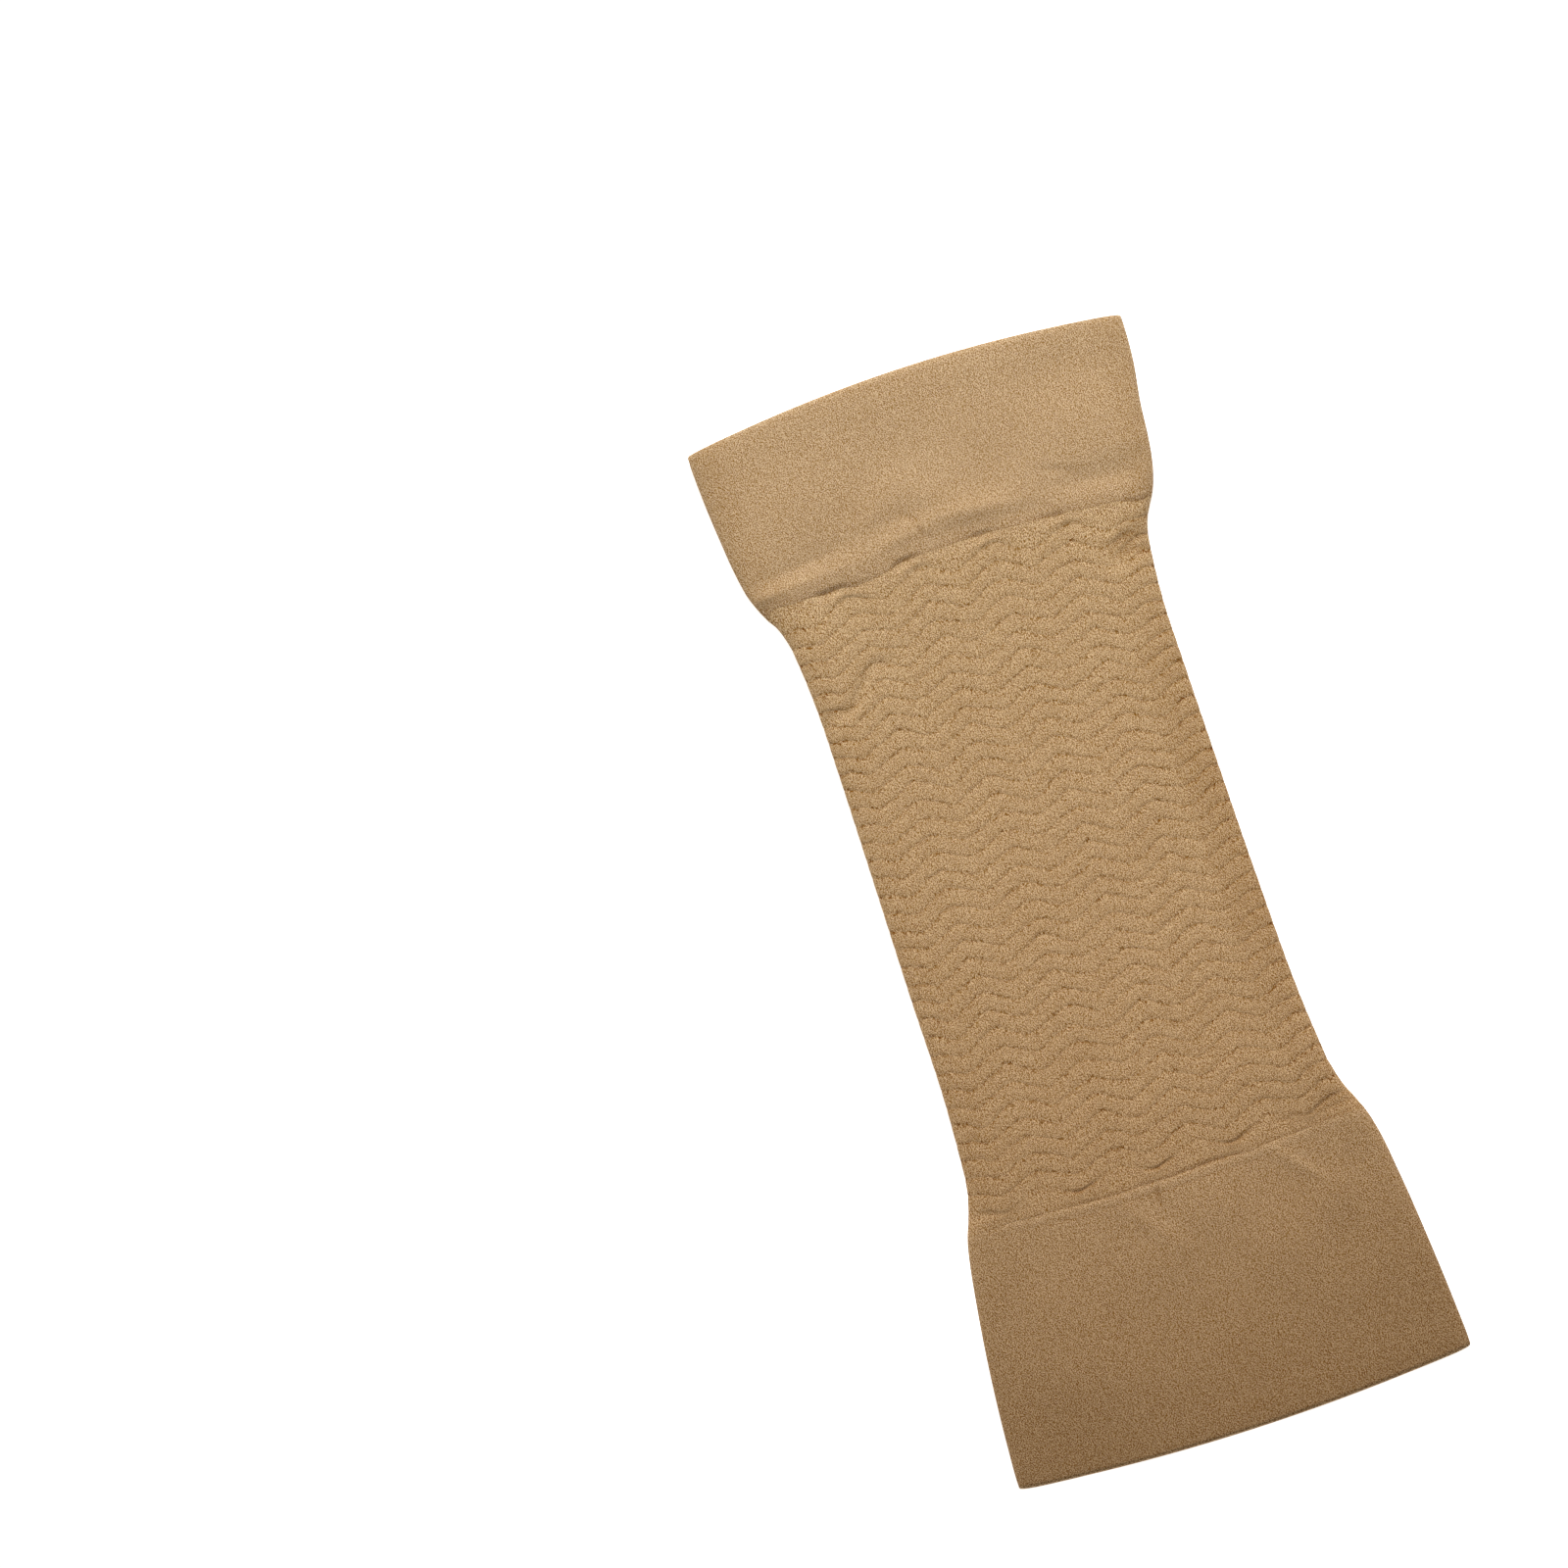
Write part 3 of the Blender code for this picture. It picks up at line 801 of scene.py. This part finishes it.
def ripple_tree():
    """Sinks the grooves between the ripples, and the pits at their peaks, into the tube."""
    tree = bpy.data.node_groups.new("ripples", "GeometryNodeTree")
    tree.interface.new_socket("Geometry", in_out="INPUT", socket_type="NodeSocketGeometry")
    for label, value in (
            ("Groove depth", 0.060 * MM), ("Groove width", 0.125), ("Groove offset", 0.01),
            ("Puff", 0.105 * MM), ("Puff lean", 0.8), ("Puff breadth", 2.6),
            ("Pit depth", 0.05 * MM), ("Pit length", 0.13), ("Pit width", 0.08),
            ("Mean strength", 0.95), ("More at peaks", 0.12), ("Less at their left", -0.05),
            ("Unevenness", 0.6), ("Least uneven", 0.5), ("Most uneven", 1.4),
            ("Relief lost at folds", 0.7), ("Relief left there", 0.3),
            ("Hole opening", 0.31), ("More at pits", 0.04), ("Seed", 3.0)):
        socket = tree.interface.new_socket(label, in_out="INPUT", socket_type="NodeSocketFloat")
        socket.default_value = value
    tree.interface.new_socket("Material", in_out="INPUT", socket_type="NodeSocketMaterial")
    tree.interface.new_socket("Geometry", in_out="OUTPUT", socket_type="NodeSocketGeometry")
    size = add_node(tree, "NodeGroupInput").outputs

    def named(label):
        return add_node(tree, "GeometryNodeInputNamedAttribute", {"Name": label},
                        data_type="FLOAT").outputs[0]

    def bell(distance, reach):
        ratio = maths("DIVIDE", distance, reach)
        return maths("EXPONENT", maths("MULTIPLY", maths("MULTIPLY", ratio, ratio), -1.0))

    # Uneven along a row, unlike from row to row, strongest over the peaks and down their right.
    place = add_node(tree, "GeometryNodeInputPosition").outputs[0]
    patchy = add_node(tree, "ShaderNodeTexNoise", {
        "Vector": place, "W": size["Seed"], "Scale": 150.0, "Detail": 3.0, "Roughness": 0.75},
        noise_dimensions="4D").outputs[0]
    uneven = maths("MULTIPLY_ADD", maths("SUBTRACT", patchy, 0.5), size["Unevenness"], 1.0)
    held = maths("MINIMUM", maths("MAXIMUM", uneven, size["Least uneven"]), size["Most uneven"])
    round_wave = maths("MULTIPLY", named("wave"), 2 * math.pi)
    by_wave = maths("MULTIPLY_ADD", maths("COSINE", round_wave), size["More at peaks"],
                    maths("MULTIPLY_ADD", maths("SINE", round_wave),
                          size["Less at their left"], size["Mean strength"]))
    strength = maths("MULTIPLY", by_wave, held)

    row_number = named("row")
    off_row = maths("PINGPONG", maths("SUBTRACT", row_number, size["Groove offset"]), 0.5)
    at_peak = bell(maths("PINGPONG", named("wave"), 0.5), size["Pit width"])
    groove = maths("MULTIPLY", bell(off_row, size["Groove width"]), strength)
    pit = maths("MULTIPLY", maths("MULTIPLY", bell(off_row, size["Pit length"]), at_peak), strength)

    # A ripple's crest lies a little nearer to the groove above it than to the one below.
    leaned = maths("POWER", maths("FRACT", row_number), size["Puff lean"])
    off_crest = maths("ABSOLUTE", maths("MULTIPLY_ADD", leaned, 2.0, -1.0))
    hollow = maths("MULTIPLY", maths("POWER", off_crest, size["Puff breadth"]), size["Puff"])
    sunk = maths("MULTIPLY_ADD", groove, size["Groove depth"],
                 maths("MULTIPLY_ADD", pit, size["Pit depth"], hollow))

    # The folds are stretched smoother than the layers.
    normal = add_node(tree, "GeometryNodeInputNormal").outputs[0]
    upright = add_node(tree, "ShaderNodeSeparateXYZ", {0: normal}).outputs[2]
    flat_share = maths("MULTIPLY_ADD", maths("MULTIPLY", upright, upright),
                       size["Relief lost at folds"], size["Relief left there"])
    inwards = maths("MULTIPLY", named("rippled"), -1.0)
    offset = maths("MULTIPLY", maths("MULTIPLY", sunk, inwards), flat_share)
    moved = add_node(tree, "ShaderNodeVectorMath", {0: normal, "Scale": offset},
                     operation="SCALE").outputs[0]
    shifted = add_node(tree, "GeometryNodeSetPosition", {
        "Geometry": size["Geometry"], "Offset": moved}).outputs[0]

    # The material opens the grooves' holes by this much, darkening them with painted shade.
    holes = maths("MULTIPLY", maths("MULTIPLY", strength, named("rippled")), maths(
        "MULTIPLY_ADD", at_peak, size["More at pits"], size["Hole opening"]))
    noted = add_node(tree, "GeometryNodeStoreNamedAttribute", {
        "Geometry": shifted, "Name": "groove", "Value": holes}, data_type="FLOAT").outputs[0]
    real = add_node(tree, "GeometryNodeRealizeInstances", {0: noted}).outputs[0]
    dressed = add_node(tree, "GeometryNodeSetMaterial", {
        "Geometry": real, "Material": size["Material"]}).outputs[0]
    tree_output = add_node(tree, "NodeGroupOutput")
    tree.links.new(dressed, tree_output.inputs[0])
    return tree


# Its far yarn colour is a little darker and deeper: painted shade.
wave_body_yarn = knit_material(
    "wave_body_yarn", yarn=(0.453, 0.297, 0.146), far_shaded_yarn=(0.443, 0.263, 0.121),
    ribs=2.0, slackness=0.46, ribbing=0.07, bump=0.10)
ripples = wave_body.modifiers.new("ripples", "NODES")
ripples.node_group = ripple_tree()
for item in ripples.node_group.interface.items_tree:
    if item.name == "Material":
        ripples[item.identifier] = wave_body_yarn
rippled = bpy.data.meshes.new_from_object(
    wave_body.evaluated_get(bpy.context.evaluated_depsgraph_get()))
wave_body.modifiers.remove(ripples)
wave_body.data = rippled
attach(wave_body, "root")
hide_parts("wave_body")


# ------------ long cuff
# The wide welt that grips the upper arm: the same fine doubled knit as the short cuff, but
# longer, and flaring from the body to its hem. Its first courses stand up as a fine ridge.

LONG_CUFF_SECTIONS = (
    Section(-74.56, -2.0, 53.7, 54.5, 3.8),
    Section(-77.0, -2.1, 54.4, 55.3, 3.9),
    Section(-80.3, -2.1, 55.1, 56.1, 3.9),
    Section(-93.0, -2.4, 57.1, 57.9, 3.9),
    Section(-112.0, -2.8, 59.4, 59.8, 3.9),
    Section(-131.1, -3.2, 60.9, 61.2, 3.8),
    Section(-139.0, -3.4, 61.3, 61.6, 3.9),
    Section(-141.5, -3.4, 61.3, 61.6, 3.7),
)
LONG_TOP, LONG_HEM = LONG_CUFF_SECTIONS[0].side_y, LONG_CUFF_SECTIONS[-1].side_y
LONG_CUFF_ROWS = (
    Stretch(LONG_TOP - JOIN_ROW, -80.0, 0.25),
    Stretch(-80.0, -90.0, 0.5),
    Stretch(-90.0, -141.4, 1.0),
)
LONG_CUFF_CREASES = (
    # The ridge of the first courses, and the line below it.
    Crease(0.0, -77.7, 126.0, 0.9, 0.11, 0),
    Crease(-6.0, -79.3, 94.0, 0.4, -0.07, 0),
    # Short folds that hang from the join.
    Crease(-3.4, -79.9, 4.8, 0.6, -0.40, 86),
    Crease(-1.4, -80.2, 6.0, 1.2, 0.20, 86),
    Crease(33.2, -84.0, 18.0, 1.8, 0.46, -47),
    Crease(34.1, -83.2, 16.0, 0.98, 0.17, -48),
    Crease(-6.5, -88.0, 26.0, 2.2, 0.50, -50),
    # Broad swells and hollows, where the cloth doesn't quite lie flat.
    Crease(-7.5, -96.5, 13.0, 7.0, 0.52, 0),
    Crease(9.0, -87.2, 18.0, 7.0, 0.78, 0),
    Crease(25.0, -103.0, 20.0, 11.0, 1.10, 0),
    Crease(33.0, -117.0, 16.0, 8.0, 0.45, 0),
    Crease(40.0, -95.5, 10.0, 7.0, 1.00, 0),
    Crease(49.5, -89.0, 9.0, 7.0, -0.48, 0),
    Crease(-43.0, -101.0, 18.0, 4.0, 0.22, 80),
    Crease(-38.0, -101.5, 14.0, 6.0, 0.42, 0),
    Crease(-38.0, -115.5, 27.0, 12.0, 1.15, 3),
    Crease(-34.0, -129.0, 40.0, 12.0, 0.80, 0),
    Crease(-30.0, -96.0, 44.0, 9.0, 0.20, -6),
    Crease(18.0, -108.0, 56.0, 10.0, -0.18, 5),
    Crease(-12.0, -126.0, 60.0, 10.0, 0.16, -3),
)
LONG_CUFF_BACK_CREASES = (
    Crease(0.0, -79.2, 90.0, 0.6, -0.14, 0),
    Crease(14.0, -86.0, 26.0, 2.6, -0.35, 8),
    Crease(-26.0, -104.0, 50.0, 8.0, -0.25, -6),
)

across, turn = columns_round(CUFF_COLUMNS)
long_cuff_y = np.concatenate([[LONG_TOP], rows_down(LONG_CUFF_ROWS), [LONG_HEM]])
long_cuff_wall = wall_rows(long_cuff_y, inside_step=5.0, thickness=CUFF_WALL,
                           far_round=JOIN_ROUND, near_round=0.5)
long_cuff_line = centre_line(LONG_CUFF_SECTIONS, long_cuff_wall.side_y)
long_cuff_points = laid_points(LONG_CUFF_SECTIONS, long_cuff_wall, across, turn)

# The hem lies a little askew: its right end is nearly a millimetre further out than its left.
ASKEW = 0.008            # at the hem, as a slope
ASKEW_FROM, ASKEW_RUN = -80.0, 60.0
askew = ASKEW * eased((ASKEW_FROM - long_cuff_line) / ASKEW_RUN)[:, None]
long_cuff_points[..., 1] -= long_cuff_points[..., 0] * askew
in_crease = crumpled(long_cuff_points, long_cuff_line, long_cuff_wall, turn,
                     LONG_CUFF_CREASES, LONG_CUFF_BACK_CREASES)
in_crease += pinched(long_cuff_points, long_cuff_line, long_cuff_wall, turn, LONG_JOIN_Y,
                     LONG_PINCHES, LONG_BACK_PINCHES, width=0.4)
long_cuff = knit_tube("long_cuff_knit", long_cuff_points, long_cuff_wall, boxes=(
    Box(0.005, 0.005, 0.85, 0.46), Box(0.005, 0.475, 0.85, 0.46),
    Box(0.865, 0.005, 0.13, 0.46), Box(0.865, 0.475, 0.13, 0.46)))

# The hem is thin at its very edge, and the colour there is lightened with painted light, as if
# light came through it. The shadow also holds painted shade in sharp creases and along the
# join's pinches, and painted highlight on sharp ridges.
PAINTED_GLOW_REACH = 0.4
painted_edge_glow = np.exp(-((long_cuff_line[:, None] - long_cuff_line.min()) / PAINTED_GLOW_REACH) ** 2)
note_on(long_cuff, "shadow", 0.8 * in_crease - 0.7 * painted_edge_glow)
# Its far yarn colour is much darker than its near one: painted shade towards the hem.
long_cuff.data.materials.append(knit_material(
    "long_cuff_yarn", yarn=(0.534, 0.357, 0.190), far_shaded_yarn=(0.370, 0.219, 0.100),
    ribs=1.0, slackness=0.55, ribbing=0.08, bump=0.09))
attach(long_cuff, "root")
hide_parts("long_cuff")


# ------------ floor
# A plain white surface that the sleeve lies on, lit through like a light table.

FLOOR_REACH = 9.0
FLOOR_Z = -0.0002        # clear of the cloth, so that the two don't shimmer
floor_mesh = bpy.data.meshes.new("floor")
floor_mesh.from_pydata([(x * FLOOR_REACH, y * FLOOR_REACH, FLOOR_Z)
                        for x, y in ((-1, -1), (1, -1), (1, 1), (-1, 1))], [], [(0, 1, 2, 3)])
floor = bpy.data.objects.new("floor", floor_mesh)
bpy.context.scene.collection.objects.link(floor)
floor_paint = bpy.data.materials.new("floor_paint")
floor_paint.use_nodes = True
floor_shader = floor_paint.node_tree.nodes["Principled BSDF"]
for label, value in (("Base Color", (0.93, 0.93, 0.93, 1)), ("Roughness", 0.9),
                     ("Emission Color", (1, 1, 1, 1)), ("Emission Strength", 0.8)):
    floor_shader.inputs[label].default_value = value
floor_mesh.materials.append(floor_paint)


# ------------ light and camera
# Soft daylight all round, and one lamp from beyond the short cuff, whose beam thins out
# towards the long one.

world = bpy.data.worlds.new("daylight")
world.use_nodes = True
daylight = world.node_tree.nodes["Background"]
daylight.inputs["Color"].default_value = (1.0, 0.95, 0.86, 1.0)
daylight.inputs["Strength"].default_value = 0.34
bpy.context.scene.world = world

BEAM_CENTRE = Vector((0.016, 0.09, 0.0))
lamp_data = bpy.data.lights.new("studio_lamp", "SPOT")
lamp_data.spot_size = math.radians(16.0)
lamp_data.spot_blend = 1.0
lamp_data.shadow_soft_size = 0.04
lamp_data.energy = 145.0
lamp = bpy.data.objects.new("studio_lamp", lamp_data)
lamp.location = (0.15, 1.30, 1.25)
bpy.context.scene.collection.objects.link(lamp)
lamp.rotation_euler = (BEAM_CENTRE - lamp.location).to_track_quat("-Z", "Y").to_euler()

VIEW_TURN = math.radians(-18.2)      # the sleeve's long axis leans this far from upright
VIEW_CENTRE = (-0.0622, 0.0519)      # the point in the middle of the view
VIEW_WIDTH = 0.4064                  # width of the view at the sleeve
VIEW_Z = 0.003                       # height in the sleeve at which it is that wide
LENS, SENSOR = 120.0, 36.0           # in mm
camera_data = bpy.data.cameras.new("camera")
camera_data.lens = LENS
camera_data.sensor_width = SENSOR
camera = bpy.data.objects.new("camera", camera_data)
camera.location = (*VIEW_CENTRE, VIEW_WIDTH * LENS / SENSOR + VIEW_Z)
camera.rotation_euler = (0, 0, VIEW_TURN)
bpy.context.scene.collection.objects.link(camera)
bpy.context.scene.camera = camera
bpy.context.scene.view_settings.view_transform = "Standard"
